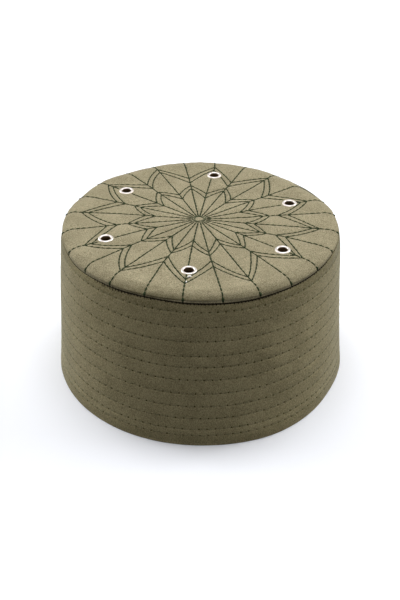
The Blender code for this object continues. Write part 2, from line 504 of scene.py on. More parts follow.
def felt_material(name, tones, sheen, grain_stretch, sewn_rows=False):
    """Dense matt felt: heathered in two tones, fine grain, and painted shade at the needle holes of sewn
    rows.
    """
    made, tree, shader = new_material(name)
    cool, warm, shade = tones
    place = node(tree, "TexCoord").outputs["Object"]
    stretched = node(tree, "Mapping", {"Vector": place, "Scale": grain_stretch}).outputs["Vector"]
    grain = noise(tree, stretched, GRAIN, 1.0, 0.5)
    fibre = noise(tree, place, FIBRE, 3.0, 0.7)
    heather = spread(tree, noise(tree, place, HEATHER, 2.0), 0.35, 0.65)
    mottle = spread(tree, weighed(tree, grain, 0.8, noise(tree, place, CLOUD, 2.0), 0.2), 0.40, 0.60)
    finish = blend_colors(tree, mottle, blend_colors(tree, heather, cool, warm), shade)
    # Painted shade: the layer painted on each piece, and for sewn rows the needle holes and their crease
    painted_shade = painted(tree, "shade")
    if sewn_rows:
        painted_shade = calculate(tree, "MAXIMUM", painted_shade, needle_hole_shade(tree, place))
    dark = tuple(share * part for share, part in zip(DARKEST, shade))
    fill(tree, shader, {
        "Base Color": blend_colors(tree, painted_shade, finish, dark),
        "Normal": roughen(tree, weighed(tree, grain, 0.7, fibre, 0.5), 0.7, 0.0003),
        "Roughness": spread(tree, fibre, 0.3, 0.7, 0.88, 1.0),
        "Sheen Weight": sheen,
        "Sheen Roughness": 0.35,
        "Sheen Tint": SHEEN_TINT,
    })
    return made


def thread_material(name, dyes):
    """Matt sewing thread, a little uneven in colour along its length."""
    made, tree, shader = new_material(name)
    place = node(tree, "TexCoord").outputs["Object"]
    plies = noise(tree, place, PLIES, 2.0)
    fill(tree, shader, {
        "Base Color": blend_colors(tree, spread(tree, noise(tree, place, HEATHER, 2.0), 0.3, 0.7), *dyes),
        "Normal": roughen(tree, plies, 0.5, 0.0001),
        "Roughness": spread(tree, plies, 0.3, 0.7, 0.55, 0.75),
    })
    return made


def metal_material(name):
    """Bright plated metal with fine scuffs and a trace of dullness, bare and dark inside the barrel."""
    made, tree, shader = new_material(name)
    place = node(tree, "TexCoord").outputs["Object"]
    scuffs = noise(tree, place, SCUFFS, 3.0, 0.7)
    plated = blend_colors(tree, spread(tree, noise(tree, place, STAINS), 0.4, 0.75), *PLATING)
    inside = painted(tree, "inside")
    fill(tree, shader, {
        "Base Color": blend_colors(tree, inside, plated, BARE_METAL),
        "Metallic": spread(tree, inside, 0.0, 1.0, 1.0, 0.0),
        "Roughness": spread(tree, scuffs, 0.3, 0.7, 0.28, 0.42),
        "Normal": roughen(tree, scuffs, 0.2, 0.00005),
    })
    return made


# Shapes round the cap

def degrees_off(turn, middle=CAMERA_TURN):
    """How many degrees a turn in radians lies off another one in degrees, or off the front."""
    return np.degrees(np.angle(np.exp(1j * (turn - radians(middle)))))


def round_cap(turn, table):
    """The value of a table that runs round the cap, at this turn."""
    return np.interp(degrees_off(turn), *zip(*table))


def facing(turn):
    """1 at the front, falling to 0 at the sides."""
    return np.clip(np.cos(turn - radians(CAMERA_TURN)), 0.0, 1.0)


def bell(value, middle, half_width):
    """1 at the middle, falling off softly to both sides."""
    return np.exp(-(((value - middle) / half_width) ** 2))


def ramp(value, low, high):
    """0 up to the low end, 1 from the high end on."""
    return np.interp(value, (low, high), (0.0, 1.0))


def arc(middle, base, half, rise, angles):
    """Radius and height of points on part of an ellipse, at these angles in degrees."""
    return [(middle + half * cos(angle), base + rise * sin(angle)) for angle in np.radians(angles)]


def turned_points(turn, radius, height):
    """Points about the Z axis."""
    return np.stack([radius * np.cos(turn), radius * np.sin(turn), height * np.ones(np.shape(turn))], axis=-1)


def on_plan(turn, reach):
    """Places on the crown's plan."""
    return np.stack([reach * np.cos(turn), reach * np.sin(turn)], axis=-1)


def evenly(columns):
    return np.arange(columns) * tau / columns


def band_radius(height):
    """The outer radius of the tapering band."""
    return RIM_RADIUS + (BAND_TOP_RADIUS - RIM_RADIUS) * height / BAND_HEIGHT


def crown_dome(radius):
    """The height of the crown's gently domed flat."""
    return BAND_HEIGHT + SHOULDER_HEIGHT + CROWN_DOME * (1.0 - (radius / SEAM_RADIUS) ** 2)


def rounded(points, rounds):
    """A line with its corners cut, round after round. Its two ends stay."""
    for _ in range(rounds):
        early = 0.75 * points[:-1] + 0.25 * points[1:]
        late = 0.25 * points[:-1] + 0.75 * points[1:]
        inside = np.stack([early, late], axis=1).reshape(-1, 2)
        points = np.concatenate([points[:1], inside, points[-1:]])
    return points


def crown_section():
    """Steps along the crown's outer surface from its centre to its edge: along, radius, height and normal."""
    flat_radius = SEAM_RADIUS + EDGE_OUT - ROLL_WIDTH
    flat = np.linspace(0.0, flat_radius, FLAT_STEPS)[:-1]
    turn = np.radians(np.linspace(0.0, ROLL_ANGLE, ROLL_STEPS))
    radius = np.concatenate([flat, flat_radius + ROLL_WIDTH * np.sin(turn)])
    soft = ROLL_SOFT * np.sin(turn) ** 2 + (1.0 - ROLL_SOFT) * (1.0 - np.cos(turn))
    fall = np.concatenate([np.zeros(flat.size), ROLL_HEIGHT * soft])
    cloth = np.stack([radius, crown_dome(radius) - fall], axis=1)
    edge = np.array(CROWN_EDGE) * MM + np.array((0.0, BAND_HEIGHT))
    tucked = rounded(np.concatenate([cloth[-1:], edge]), 3)
    radius, height = np.concatenate([cloth, tucked[1:]]).T
    along = np.concatenate([[0.0], np.cumsum(np.hypot(np.diff(radius), np.diff(height)))])
    slope_r = np.gradient(radius, along)
    slope_z = np.gradient(height, along)
    length = np.hypot(slope_r, slope_z)
    return along, radius, height, -slope_z / length, slope_r / length


SECTION = crown_section()
CLOTH_END = SECTION[0][-1]
EDGE = CLOTH_END - SEEN_EDGE


def draws(number):
    """A source of random numbers, the same in every run."""
    return np.random.default_rng(SEED + number)


def sines(count, low, high, number):
    """Random waves for a soft unevenness: their pace along X and Y, and where each starts.

    A wave repeats between low and high times in a metre.
    """
    rng = draws(number)
    turn = rng.uniform(0.0, tau, count)
    pace = rng.uniform(low, high, count) * tau
    return pace * np.cos(turn), pace * np.sin(turn), rng.uniform(0.0, tau, count)


def unevenness(plan, waves):
    """A soft random surface between about -1 and 1."""
    x, y = plan[..., 0], plan[..., 1]
    total = sum(np.sin(pace_x * x + pace_y * y + start) for pace_x, pace_y, start in zip(*waves))
    return total / sqrt(len(waves[0]))


CROWN_SWELL = sines(count=9, low=8.0, high=30.0, number=0)
CROWN_RUMPLE = sines(count=12, low=60.0, high=160.0, number=1)


def crown_droop(turn, radius, height):
    """How far the crown's edge hangs here. The seam itself stays where it is."""
    share = ramp(radius, *DROOP_RADII)
    above_seam = ramp(height, BAND_HEIGHT, BAND_HEIGHT + DROOP_KEPT)
    return round_cap(turn, DROOPS) * MM * share**2 * (3.0 - 2.0 * share) * above_seam


def top_shift(turn):
    """How far the cap's top edge lies out here, because it sits a little to one side of the rim."""
    return TOP_SHIFT * np.cos(turn - radians(TOP_SHIFT_TURN))


def seam_rise(turn):
    """How far the seam wavers up and down round the front."""
    return sum(size * bell(degrees_off(turn), middle, half_width) for middle, half_width, size in SEAM_WAVES)


def crown_places(turn, along, lift):
    """Points at this turn and distance along the crown, lifted off the cloth's plain surface."""
    radius, height, out_r, out_z = (np.interp(along, SECTION[0], part) for part in SECTION[1:])
    near_seam = np.interp(height, (BAND_HEIGHT, BAND_HEIGHT + SEAM_FALL * SHOULDER_HEIGHT), (1.0, 0.0))
    radius = radius + LIP_FILL * bell(height, *LIP_FILL_BAND) * (1.0 - round_cap(turn, LIPS))
    height = height - crown_droop(turn, radius, height) + seam_rise(turn) * near_seam
    radius = radius + top_shift(turn) * ramp(radius, TOP_SHIFT_FROM, SEAM_RADIUS)
    return turned_points(turn, radius + lift * out_r, height + lift * out_z) * OVAL


# The stitched star

def chart_point(radius_mm, degrees):
    """A point of the chart on the cloth's plan, before the cap is fitted to the head."""
    return on_plan(radians(degrees), radius_mm) * MM / OVAL[:2]


def star_points(column):
    """Points of one column pair of the chart: on the petal axes, then on the valley lines."""
    return [
        [chart_point(row[column], first + PETAL_TURN * k + row[column + 1]) for k, row in enumerate(chart)]
        for chart, first in ((PETAL_AXES, 0), (VALLEY_LINES, PETAL_TURN // 2))
    ]


def nearer(point, shift_mm):
    """The point moved towards the centre."""
    return point * (1.0 - shift_mm * MM / np.hypot(*point))


def petal_side(valley, tip, bulge_mm):
    """A curve from a valley to a tip that bulges away from the petal's axis."""
    middle = (valley + tip) / 2.0
    run = tip - valley
    across = np.array((-run[1], run[0])) / np.hypot(*run)
    axis = tip / np.hypot(*tip)
    away = middle - axis * (middle @ axis)
    if across @ away < 0.0:
        across = -across
    bend = middle + 2.0 * bulge_mm * MM * across
    share = np.linspace(0.0, 1.0, PETAL_STEPS)[:, None]
    return (1 - share) ** 2 * valley + 2 * share * (1 - share) * bend + share**2 * tip


def straight(first, second):
    steps = max(2, int(np.hypot(*(second - first)) / CHART_STEP))
    return first + (second - first) * np.linspace(0.0, 1.0, steps)[:, None]


def star(tips, valleys, before, sizes, rounder):
    """Both lines of a star. The tip k lies between the valleys k + before and k + before + 1.

    A petal's side is the rounder the more it faces the turn of the roundest ones.
    """
    tip_double, valley_double, bulge, swing = sizes
    lines = []
    for inner in (False, True):
        for k, tip in enumerate(tips):
            sides = [valleys[(k + before) % PETALS], valleys[(k + before + 1) % PETALS]]
            if inner:
                tip = nearer(tip, tip_double)
                sides = [nearer(valley, valley_double) for valley in sides]
            for side, quarter in enumerate((-90.0, 90.0)):
                facing_turn = np.degrees(np.arctan2(tip[1], tip[0])) + quarter
                round_out = bulge + swing * cos(radians(facing_turn - ROUNDEST_FACING))
                lines.append(petal_side(sides[side], tip, round_out + rounder.get((k, side), 0.0)))
    return lines


def spoke(inner, outer, seam_turn):
    """A line from the gathered centre to the seam, bent at the two stars."""
    corners = [inner * ROSETTE_START * MM / np.hypot(*inner), inner, outer, on_plan(seam_turn, EDGE)]
    return np.concatenate([straight(a, b) for a, b in zip(corners, corners[1:])])


def spokes():
    lines = []
    groups = zip((PETAL_AXES, VALLEY_LINES), INNER_POINTS, OUTER_POINTS, (0, PETAL_TURN // 2))
    for chart, inner, outer, first in groups:
        for k in range(PETALS):
            lines.append(spoke(inner[k], outer[k], radians(first + PETAL_TURN * k + chart[k][4])))
    return lines


def eyelet_places():
    """Each eyelet's centre on the crown's plan and the height of the felt there."""
    places = {}
    for name in EYELET_NAMES:
        low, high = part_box(name)
        middle = (low + high) / 2.0
        places[name] = (middle.x, middle.y, high.z - EYELET_ROLL_HEIGHT - GAP)
    return places


EYELETS = eyelet_places()
INNER_POINTS = star_points(0)
OUTER_POINTS = star_points(2)
SPOKES = spokes()
STARS = star(*OUTER_POINTS, -1, OUTER_STAR, ROUNDER_SIDES) + star(*INNER_POINTS[::-1], 0, INNER_STAR, {})


def pattern_tree():
    """Every stitched line of the crown, to find how near a point lies to one."""
    points = np.concatenate(SPOKES + STARS)
    tree = kdtree.KDTree(len(points))
    for number, point in enumerate(points):
        tree.insert((point[0], point[1], 0.0), number)
    tree.balance()
    return tree


PATTERN = pattern_tree()


def distance_to_pattern(plan):
    return np.array([PATTERN.find((x, y, 0.0))[2] for x, y in plan.reshape(-1, 2)]).reshape(plan.shape[:-1])


def crown_relief(turn, along):
    """How far the felt stands off its plain surface: sunk at stitches and eyelets, swelling between them."""
    plan = on_plan(turn, along)
    gap = distance_to_pattern(plan)
    lift = -CROWN_GROOVE_DEPTH * bell(gap, 0.0, CROWN_GROOVE_WIDTH)
    lift = lift + CROWN_PUFF * (1.0 - bell(gap, 0.0, CROWN_PUFF_REACH))
    lift = lift + CROWN_SWELL_SIZE * unevenness(plan, CROWN_SWELL)
    near_edge = bell(EDGE - along, *EDGE_RUMPLE_BAND)
    near_edge = near_edge * (EDGE_RUMPLE_BACK + (1.0 - EDGE_RUMPLE_BACK) * facing(turn))
    lift = lift + (CROWN_RUMPLE_SIZE + EDGE_RUMPLE_SIZE * near_edge) * unevenness(plan, CROWN_RUMPLE)
    lift = lift - LIP_GROOVE * round_cap(turn, LIPS) * bell(EDGE - along, *LIP_GROOVE_BAND)
    for x, y, _ in EYELETS.values():
        reach = np.hypot(plan[..., 0] * OVAL[0] - x, plan[..., 1] * OVAL[1] - y)
        settled = ramp(reach, EYELET_RADIUS, EYELET_RADIUS + EYELET_DIMPLE_REACH)
        lift = lift * settled - EYELET_DIMPLE * (1.0 - settled)
    return lift * ramp(EDGE - along, 0.0, EDGE_SETTLED)


# Building meshes

def new_object(name, data):
    made = bpy.data.objects.new(name, data)
    bpy.context.scene.collection.objects.link(made)
    return made


def new_piece(name, shape, surface):
    """A smooth-shaded piece from its points and faces."""
    points, faces = shape
    mesh = bpy.data.meshes.new(name)
    mesh.from_pydata(points.reshape(-1, 3).tolist(), [], faces)
    mesh.validate()
    mesh.shade_smooth()
    mesh.materials.append(surface)
    piece = new_object(name, mesh)
    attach(piece, "root")
    return piece


def ring_faces(first, first_count, second, second_count):
    """Faces between two rings of points. One may have twice the other's points, or be a single point."""
    if first_count > second_count:
        return [face[::-1] for face in ring_faces(second, second_count, first, first_count)]
    faces = []
    if first_count == second_count:
        for i in range(first_count):
            j = (i + 1) % first_count
            faces.append((first + i, second + i, second + j, first + j))
    elif first_count == 1:
        faces += [(first, second + i, second + (i + 1) % second_count) for i in range(second_count)]
    else:
        for i in range(first_count):
            start = first + i
            following = first + (i + 1) % first_count
            middle = second + 2 * i + 1
            end = second + (2 * i + 2) % second_count
            faces += [(start, second + 2 * i, middle), (start, middle, following), (following, middle, end)]
    return faces


def turned_rings(rings):
    """Points and faces of rings of points, given in order as arrays of places."""
    faces = []
    start = 0
    for ring, following in zip(rings, rings[1:]):
        faces += ring_faces(start, len(ring), start + len(ring), len(following))
        start += len(ring)
    return np.concatenate(rings), faces


def closed_rings(rings):
    """Points and faces of rings of equal size whose last joins the first."""
    points, faces = turned_rings(rings)
    columns = len(rings[0])
    return points, faces + ring_faces(len(points) - columns, columns, 0, columns)


def paint(piece, name, values):
    """Stores one number for each point of a piece."""
    layer = piece.data.attributes.new(name, "FLOAT", "POINT")
    layer.data.foreach_set("value", np.asarray(values, np.float32).ravel())


# The crown

def ring_columns(along):
    """How many points a ring of the crown has at this distance from the centre, which is a single point."""
    return next(columns for least, columns in RING_COLUMNS if along > least)


def crown_felt(surface):
    """The stiff top: its stitched outer surface, its rolled edge, its underside and six punched holes."""
    fine_from = EDGE - FINE_EDGE
    stops = np.linspace(0.0, fine_from, int(fine_from / RING_STEP))
    rings = []
    for along in (*stops, *np.linspace(fine_from, CLOTH_END, FINE_RINGS)[1:]):
        turn = evenly(ring_columns(along))
        reach = np.full(turn.shape, along)
        rings.append(crown_places(turn, reach, crown_relief(turn, reach)))
    piece = new_piece("crown_felt", turned_rings(rings + underside_rings()), surface)
    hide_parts("top_panel")
    punch_holes(piece)
    paint(piece, "shade", roll_shade(piece))


def roll_shade(piece):
    """How much painted shade darkens each crown point, mostly from how far it lies down the rolled edge."""
    places = np.empty(3 * len(piece.data.vertices), np.float32)
    piece.data.vertices.foreach_get("co", places)
    x, y, height = places.reshape(-1, 3).T
    turn = np.arctan2(y, x)
    reach = np.hypot(x / OVAL[0], y / OVAL[1])
    drop = BAND_HEIGHT + SHOULDER_HEIGHT - height
    side = round_cap(turn, ROLL_SHADES)
    sunk_shade = ROLL_SUNK_SHADE * bell(degrees_off(turn), *ROLL_SUNK_SHADE_TURNS)
    wide = side * ramp(drop, *ROLL_DROPS) + sunk_shade * ramp(reach, *ROLL_SUNK_SHADE_REACHES)
    foot = bell(drop, *ROLL_FOOT_BAND) * (facing(turn) ** 2 + sunk_shade)
    onset = ONSET_SHADE * side * bell(reach, *ONSET_BAND)
    lip = round_cap(turn, LIPS) * ramp(drop, *LIP_DROPS)
    outer = round_cap(turn, OUTER_SHADES) * ramp(reach, *OUTER_REACHES)
    return (ROLL_SHADE * wide + ROLL_FOOT_SHADE * foot + onset) * (1.0 - lip) + outer


def underside_rings():
    """The crown's inner side: the cut edge on the ledge, the inside of the roll, the flat, and its centre."""
    foot = LEDGE + GAP
    flat_radius = SEAM_RADIUS - SHOULDER_WIDTH
    inner_radius = SEAM_RADIUS - FELT
    under_top = crown_dome(flat_radius) - FELT
    roll = arc(flat_radius, foot, inner_radius - flat_radius, under_top - foot, (10, 30, 50, 70, 90))
    profile = [(radius, height, UNDERSIDE_COLUMNS) for radius, height in [(inner_radius, foot)] + roll]
    for share in (*np.linspace(0.96, 0.04, 24), 0.0):
        radius = share * flat_radius
        profile.append((radius, under_top, min(UNDERSIDE_COLUMNS, ring_columns(radius))))
    return [turned_points(evenly(columns), radius, height) * OVAL for radius, height, columns in profile]


def punch_holes(piece):
    """Cuts the six eyelet holes through the felt."""
    hole = EYELET_BARREL + PUNCH_GAP
    cutter_mesh = bmesh.new()
    for place in EYELETS.values():
        made = bmesh.ops.create_cone(
            cutter_mesh, cap_ends=True, segments=PUNCH_SIDES, depth=PUNCH_LENGTH, radius1=hole, radius2=hole
        )
        bmesh.ops.translate(cutter_mesh, verts=made["verts"], vec=place)
    mesh = bpy.data.meshes.new("punch")
    cutter_mesh.to_mesh(mesh)
    cutter_mesh.free()
    cutter = new_object("punch", mesh)
    cut = piece.modifiers.new("Punched holes", "BOOLEAN")
    cut.object = cutter
    cut.solver = "EXACT"
    evaluated = piece.evaluated_get(bpy.context.evaluated_depsgraph_get())
    punched = bpy.data.meshes.new_from_object(evaluated)
    piece.modifiers.clear()
    piece.data = punched
    punched.name = "crown_felt"
    bpy.data.objects.remove(cutter)


# The band

def row_wander(row, turn):
    """How far a stitched row strays from its own height, round the cap."""
    rng = draws(20 + row)
    stray = np.zeros(np.shape(turn))
    for waves in ROW_WAVES:
        size = rng.uniform(-1.0, 1.0) / sqrt(waves)
        stray = stray + size * np.sin(waves * turn + rng.uniform(0.0, tau))
    return ROW_WANDER * stray


# Where along its pitch each row's stitches start, as a share of a stitch
PHASES = np.cumsum(draws(3).uniform(-ROW_START, ROW_START, len(STITCH_ROWS)))


def band_wander(turn, height):
    """The height stray of any line round the band, between those of the rows above and below it."""
    stray = np.zeros(turn.shape)
    neighbours = zip((0.0,) + STITCH_ROWS, STITCH_ROWS, STITCH_ROWS[1:] + (BAND_HEIGHT,))
    for row, heights in enumerate(neighbours):
        stray = stray + row_wander(row, turn) * np.interp(height, heights, (0.0, 1.0, 0.0))
    return stray


def out_of_round(turn, height):
    """How far the whole wall stands out from a true round, most of it at the rim."""
    swell = RIM_FLARE * bell(height, 0.0, RIM_FLARE_REACH)
    for middle, half_width, fade, size in SWELLS:
        swell = swell + size * bell(height, 0.0, fade) * bell(degrees_off(turn, middle), 0.0, half_width)
    return swell * np.interp(height, (STITCH_ROWS[-2], BAND_HEIGHT), (1.0, TOP_KEPT_SWELL))


def row_gap(height):
    """How far this height is from the nearest stitched row."""
    return min(abs(height - row) for row in STITCH_ROWS)


def band_relief(turn, height):
    """How far the band's felt stands off its plain cone at this line's own height."""
    gap = row_gap(height)
    lift = PUFF - (PUFF + ROW_DEPTH) * bell(gap, 0.0, ROW_WIDTH)
    swell = np.zeros(turn.shape)
    rng = draws(5)
    for _ in range(BAND_SWELLS):
        waves = rng.integers(*BAND_WAVES)
        swell = swell + np.sin(waves * turn + rng.uniform(*BAND_SLANTS) * height + rng.uniform(0.0, tau))
    crease = HEM_CREASE_DEPTH * bell(height, *HEM_CREASE)
    lean = TOP_LEAN * bell(height, BAND_TOP, TOP_LEAN_REACH)
    swell = BAND_SWELL * swell * ramp(gap, 0.0, BAND_SWELL_FROM)
    return lift - crease - lean + swell + out_of_round(turn, height)


def band_heights():
    """Heights of the lines round the band's outer side, close together at each stitched row."""
    heights = {row + offset * MM for row in STITCH_ROWS for offset in ROW_LINES}
    heights |= {height * MM for height in OTHER_LINES}
    pairs = zip(STITCH_ROWS, STITCH_ROWS[1:])
    heights |= {(low + high) / 2.0 for low, high in pairs if high - low > WIDE_ROW}
    return sorted(heights, reverse=True)


def column_turns(height):
    """Turns of the band's columns: five to a stitch, one of them at the needle hole of the nearest row."""
    phase = np.interp(height, STITCH_ROWS, PHASES)
    shares = [stitch + share for stitch in range(STITCHES_ROUND) for share in COLUMNS_PER_STITCH]
    return (np.array(shares) + phase) * tau / STITCHES_ROUND


def top_shade(turn):
    """How much darker the strip above the top row is, less at the front: painted shade and its own tone."""
    return TOP_SHADE * (1.0 - TOP_SHADE_LESS * facing(turn) ** 2)


def upper_shade(height):
    """How much painted shade darkens the wall towards the seam, under the crown's edge."""
    return UPPER_SHADE * bell(height, BAND_HEIGHT, UPPER_REACH)


def ring_at(turn, radius, height):
    """Points round the cap, with the straying of its top edge."""
    radius = radius + top_shift(turn) * ramp(height, TOP_SHIFT_FROM, BAND_HEIGHT)
    height = height + seam_rise(turn) * ramp(height, STITCH_ROWS[-1], BAND_TOP)
    return turned_points(turn, radius, height) * OVAL


def plain_lines(turn, profile, shade):
    """Lines round the band that lie off its stitched rows: points, distances to hole and row, and shade."""
    far = np.ones(turn.size)
    return [(ring_at(turn, radius, height), far, far, shade) for radius, height in profile]


def lip_lines():
    """The band's top edge, from the ledge inside the crown up and over to the outer side."""
    turn = column_turns(BAND_HEIGHT)
    opening = round_cap(turn, SEAM_OPENINGS)
    top = BAND_HEIGHT - SEAM_DROP * opening
    inner = LIP_TOP_RADIUS + LIP_OPENING * opening
    outer = band_radius(BAND_TOP) + band_relief(turn, BAND_TOP) - LIP_BEVEL
    profile = [(SEAM_RADIUS + GAP, LEDGE), (inner - LIP_BEVEL, LEDGE), (inner - LIP_BEVEL, top - LIP_BEVEL)]
    profile += arc(inner, top - LIP_DROP, outer - inner, LIP_DROP, (90, 72, 54, 36, 18))
    return plain_lines(turn, profile, top_shade(turn) + upper_shade(BAND_HEIGHT))


def outer_lines():
    """The same for the quilted outer side, pricked at the needle holes of each row."""
    stitch_gap = np.tile(STITCH_GAPS, STITCHES_ROUND) * tau * RIM_RADIUS / STITCHES_ROUND
    lines = []
    for height in band_heights():
        turn = column_turns(height)
        gap = row_gap(height)
        relief = band_relief(turn, height)
        pricked = 1.0 if gap < ON_ROW else BESIDE_HOLE if gap < BESIDE_ROW else 0.0
        relief[::len(COLUMNS_PER_STITCH)] -= HOLE_DEPTH * pricked
        ring = ring_at(turn, band_radius(height) + relief, height + band_wander(turn, height))
        # Painted shade on the strip above the top row, towards the seam, and below the lowest row
        shade = top_shade(turn) * ramp(height - STITCH_ROWS[-1], *SHADE_BLUR) + upper_shade(height)
        shade = shade + HEM_SHADE * ramp(STITCH_ROWS[0] - height, *SHADE_BLUR)
        lines.append((ring, stitch_gap, np.full(turn.size, gap), shade))
    return lines


def hem_lines():
    """The folded rim, from the outer side round under the felt, and the inner side up to the ledge."""
    turn = column_turns(0.0)
    outer = band_radius(0.0) + out_of_round(turn, 0.0)
    inner = RIM_RADIUS - HEM_THICKNESS
    profile = arc(outer - HEM_ROUND, HEM_ROUND, HEM_ROUND, -HEM_ROUND, (0, 25, 50, 75, 90))
    profile += arc(inner + HEM_ROUND, HEM_ROUND, -HEM_ROUND, -HEM_ROUND, (90, 60, 30, 0))
    profile += [(band_radius(height) - HEM_THICKNESS, height) for height in (INSIDE_FROM, HEM_HEIGHT)]
    inside = np.linspace(HEM_HEIGHT + HEM_STEP, LEDGE, INSIDE_LINES)
    profile += [(band_radius(height) - FELT, height) for height in inside]
    profile.append((LEDGE_RADIUS, LEDGE))
    # The hem gets the same even painted shade as the wall below the lowest row
    return plain_lines(turn, profile, np.full(turn.size, HEM_SHADE))


def band_felt(surface):
    """The quilted band: lip, outer side with its pricked rows, folded hem, inside and ledge."""
    rings, *layers = zip(*(lip_lines() + outer_lines() + hem_lines()))
    piece = new_piece("band_felt", closed_rings(rings), surface)
    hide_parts("side_band")
    for name, values in zip(("stitch_gap", "row_gap", "shade"), layers):
        paint(piece, name, np.concatenate(values))


# Threads

def tubes(centres, normals, widths, heights, sides=6):
    """Points and faces of many closed tubes at once. centres and normals are (tubes, steps, 3)."""
    tangents = np.gradient(centres, axis=1)
    tangents = tangents / np.linalg.norm(tangents, axis=2, keepdims=True)
    across = np.cross(tangents, normals)
    across = across / np.linalg.norm(across, axis=2, keepdims=True)
    upward = np.cross(across, tangents)
    around = evenly(sides)
    count, steps = centres.shape[:2]
    widths = widths * np.ones((count, steps))
    heights = heights * np.ones((count, steps))
    points = centres[:, :, None, :]
    points = points + across[:, :, None, :] * (widths[..., None] * np.cos(around))[..., None]
    points = points + upward[:, :, None, :] * (heights[..., None] * np.sin(around))[..., None]
    faces = []
    for tube in range(count):
        base = tube * steps * sides
        for step in range(steps - 1):
            for side in range(sides):
                following = (side + 1) % sides
                low = base + step * sides
                faces.append((low + side, low + following, low + sides + following, low + sides + side))
        faces.append(tuple(base + side for side in reversed(range(sides))))
        faces.append(tuple(base + (steps - 1) * sides + side for side in range(sides)))
    return points.reshape(-1, 3), faces


def joined(parts):
    """Several (points, faces) pairs as one."""
    points = []
    faces = []
    start = 0
    for part_points, part_faces in parts:
        points.append(part_points)
        faces += [tuple(start + corner for corner in face) for face in part_faces]
        start += len(part_points)
    return np.concatenate(points), faces


def threads_on_crown(plan, rise, size, width=CROWN_THREAD_WIDTH, height=CROWN_THREAD_HEIGHT):
    """Threads laid on the crown's felt along lines of its plan, raised by this share of their height."""
    along = np.hypot(plan[..., 0], plan[..., 1])
    turn = np.arctan2(plan[..., 1], plan[..., 0])
    centres = crown_places(turn, along, crown_relief(turn, along) + height * rise)
    normals = turned_points(turn, *(np.interp(along, SECTION[0], part) for part in SECTION[3:]))
    return tubes(centres, normals, width * size, height * size)


def dashes_on(line, rng):
    """Places along each stitch on a line of the crown's plan."""
    steps = np.concatenate([[0.0], np.cumsum(np.hypot(*np.diff(line, axis=0).T))])
    count = max(1, int(round(steps[-1] / CROWN_PITCH)))
    pitch = steps[-1] / count
    dashes = []
    for number in range(count):
        middle = (number + 0.5 + rng.uniform(-0.5, 0.5) * DASH_SPREAD) * pitch
        place = [np.interp(middle, steps, line[:, axis]) for axis in (0, 1)]
        share = LOOSE_DASH_SHARE if np.hypot(*place) > LOOSE_FROM else 1.0
        half = 0.5 * share * pitch * rng.uniform(1.0 - DASH_SPREAD, 1.0 + DASH_SPREAD)
        stops = np.linspace(middle - half, middle + half, STITCH_STEPS)
        dash = np.stack([np.interp(stops, steps, line[:, axis]) for axis in (0, 1)], axis=-1)
        dashes.append(dash + rng.normal(0.0, DASH_STRAY, 2))
    return dashes


def free_of_eyelets(dash):
    """Whether a stitch lies clear of every eyelet's ring."""
    middle = dash[len(dash) // 2] * OVAL[:2]
    reaches = [np.hypot(middle[0] - x, middle[1] - y) for x, y, _ in EYELETS.values()]
    return min(reaches) > EYELET_RADIUS + EYELET_CLEAR


def crown_dashes():
    """Every stitch of the star and its spokes, thicker where a spoke meets the seam."""
    rng = draws(7)
    dashes = []
    weights = []
    for line in SPOKES:
        for dash in dashes_on(line, rng):
            dashes.append(dash)
            reach = np.hypot(*dash[-1])
            weight = LOOSE_WEIGHT if reach > LOOSE_FROM else 1.0
            weight = SEAM_END_WEIGHT if reach > EDGE - SEAM_END else weight
            weights.append(weight * rng.uniform(*SPOKE_WEIGHTS))
    for line in STARS:
        for dash in dashes_on(line, rng):
            dashes.append(dash)
            weights.append(rng.uniform(*STAR_WEIGHTS))
    kept = [number for number, dash in enumerate(dashes) if free_of_eyelets(dash)]
    return np.array(dashes)[kept], np.array(weights)[kept, None]


def crown_stitches(surface):
    """The running stitches of the star and its spokes."""
    dashes, weights = crown_dashes()
    shape = threads_on_crown(dashes, ARCH * weights, TAPER * weights)
    new_piece("crown_stitches", shape, surface)


def loop_on_crown(radius, rng):
    """One loop of thread laid round the crown's centre, with its ends lapped."""
    turn = np.linspace(0.0, tau * LOOP_LAP, LOOP_STEPS) + rng.uniform(0.0, tau)
    reach = radius + LOOP_WAVES[0] * np.sin(3 * turn + rng.uniform(0.0, tau))
    reach = reach + LOOP_WAVES[1] * np.sin(7 * turn)
    return threads_on_crown(on_plan(turn, reach)[None], LOOP_RISE, FINE_THREAD)


def short_stitches(rng):
    """Short spread stitches across the loops at the crown's centre."""
    short = []
    for number in range(SHORT_STITCHES):
        stray = rng.uniform(-SHORT_TURN_SPREAD, SHORT_TURN_SPREAD)
        reach = np.linspace(rng.uniform(*SHORT_STARTS), rng.uniform(*SHORT_ENDS), STITCH_STEPS) * MM
        short.append(on_plan(radians(360.0 / SHORT_STITCHES * number + stray), reach))
    return threads_on_crown(np.array(short), ARCH + SHORT_RISE, FINE_THREAD * TAPER)


def centre_loops(surface):
    """The gathered centre: loops of thread laid round it and short stitches across them."""
    rng = draws(9)
    loops = [loop_on_crown(radius, rng) for radius in LOOP_RADII]
    new_piece("centre_loops", joined(loops + [short_stitches(rng)]), surface)


def pale_flecks(surface):
    """Two small pale flecks on the felt beside the front eyelet, drawn as short pale threads."""
    parts = []
    for x, y, lean, length, thickness in PALE_FLECKS:
        run = np.linspace(-0.5, 0.5, STITCH_STEPS) * length * MM
        plan = np.array((x, y)) * MM + on_plan(radians(lean), run)
        half = 0.5 * thickness * MM
        parts.append(threads_on_crown(plan[None], ARCH + FLECK_RISE, TAPER, half, half))
    new_piece("pale_flecks", joined(parts), surface)


